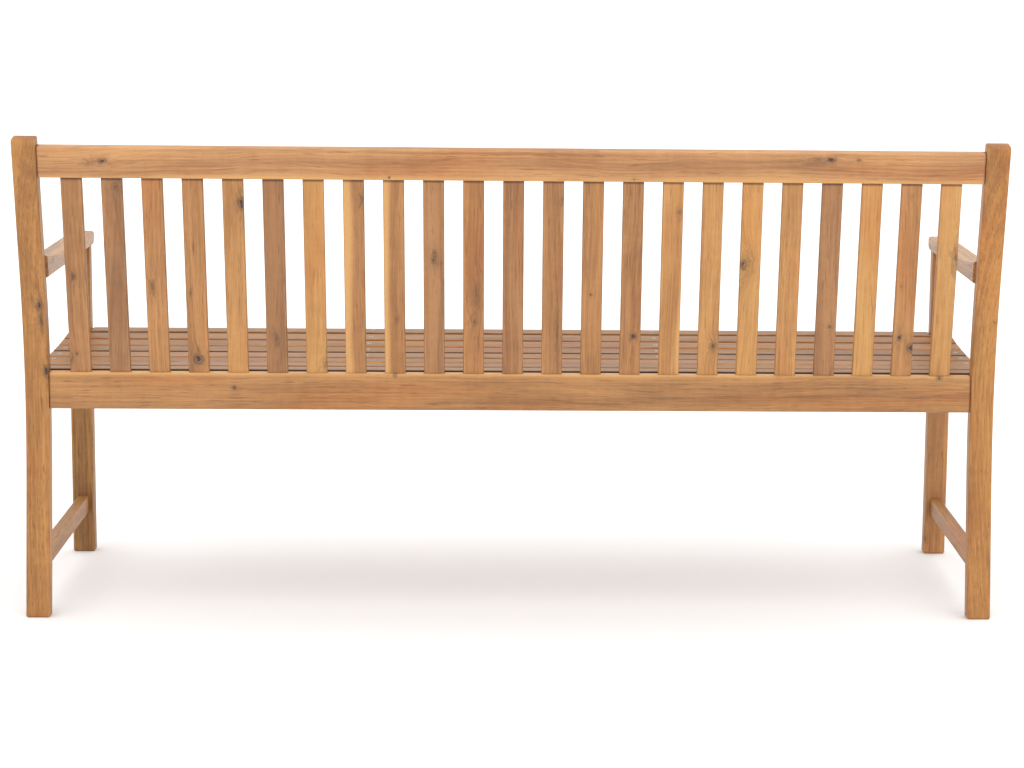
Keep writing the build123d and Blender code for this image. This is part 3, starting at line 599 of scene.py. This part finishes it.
# ---------------------------------------------------------------- studio
FLOOR_REACH = 60.0         # metres from the origin to the floor's edges
SURROUND_STRENGTH = 1.1
SUN_STRENGTH = 1.3
SUN_ANGLE = 110            # degrees across, which makes its shadows soft
SUN_DIRECTION = (0.12, -0.3, -1.0)
CAMERA_BEHIND = 4.2239     # metres behind the bench's rearmost point
CAMERA_ASIDE = 0.0005
CAMERA_HEIGHT = 1.2673
CAMERA_TURN = 1.646        # degrees, as are the next two
CAMERA_TILT = 7.896
CAMERA_ROLL = 0.596
LENS_LENGTH = 82.82        # mm, for a sensor 36 mm wide
LENS_SHIFT = (-0.0664, -0.12)


def studio_floor():
    """Pale floor, wide enough to reach past every view, with a faint unevenness."""
    reach = FLOOR_REACH
    mesh = bpy.data.meshes.new("studio_floor")
    corners = [(-reach, -reach, 0.0), (reach, -reach, 0.0), (reach, reach, 0.0), (-reach, reach, 0.0)]
    mesh.from_pydata(corners, [], [(0, 1, 2, 3)])
    floor = bpy.data.objects.new("studio_floor", mesh)
    bpy.context.collection.objects.link(floor)
    material = bpy.data.materials.new("pale_floor")
    material.use_nodes = True
    wire = Wiring(material.node_tree)
    shader = wire.tree.nodes["Principled BSDF"]
    coordinates = wire.add("ShaderNodeTexCoord").outputs["Object"]
    cloud = wire.noise(wire.vector("MULTIPLY", coordinates, (0.8, 0.8, 0.8)), 3.0)
    shade = wire.blend(wire.fade(cloud, -0.4, 0.4), (0.92, 0.92, 0.92, 1), (0.94, 0.94, 0.94, 1))
    wire.feed(shader.inputs["Base Color"], shade)
    shader.inputs["Roughness"].default_value = 0.9
    shader.inputs["Specular IOR Level"].default_value = 0.1
    mesh.materials.append(material)


def studio_light():
    """White surround with a wide, even overhead light that leans a little towards the back."""
    world = bpy.data.worlds.new("white_surround")
    world.use_nodes = True
    world.node_tree.nodes["Background"].inputs["Color"].default_value = (1.0, 1.0, 1.0, 1.0)
    world.node_tree.nodes["Background"].inputs["Strength"].default_value = SURROUND_STRENGTH
    bpy.context.scene.world = world
    lamp = bpy.data.lights.new("overhead_light", "SUN")
    lamp.energy = SUN_STRENGTH
    lamp.angle = math.radians(SUN_ANGLE)
    item = bpy.data.objects.new("overhead_light", lamp)
    item.rotation_euler = Vector(SUN_DIRECTION).to_track_quat("-Z", "Y").to_euler()
    bpy.context.collection.objects.link(item)


def studio_camera():
    """Camera behind the bench, a little above its back, looking slightly down."""
    lens = bpy.data.cameras.new("studio_camera")
    lens.sensor_width = 36.0
    lens.lens = LENS_LENGTH
    lens.shift_x, lens.shift_y = LENS_SHIFT
    lens.clip_end = 200.0
    camera = bpy.data.objects.new("studio_camera", lens)
    back = cad_box[1][1]
    camera.location = (CAMERA_ASIDE, back + CAMERA_BEHIND, CAMERA_HEIGHT)
    turn = Matrix.Rotation(math.radians(180 - CAMERA_TURN), 3, "Z")
    tilt = Matrix.Rotation(math.radians(90 - CAMERA_TILT), 3, "X")
    roll = Matrix.Rotation(math.radians(CAMERA_ROLL), 3, "Z")
    camera.rotation_euler = (turn @ tilt @ roll).to_euler()
    bpy.context.collection.objects.link(camera)
    bpy.context.scene.camera = camera


studio_floor()
studio_light()
studio_camera()
bpy.context.scene.view_settings.view_transform = "Standard"
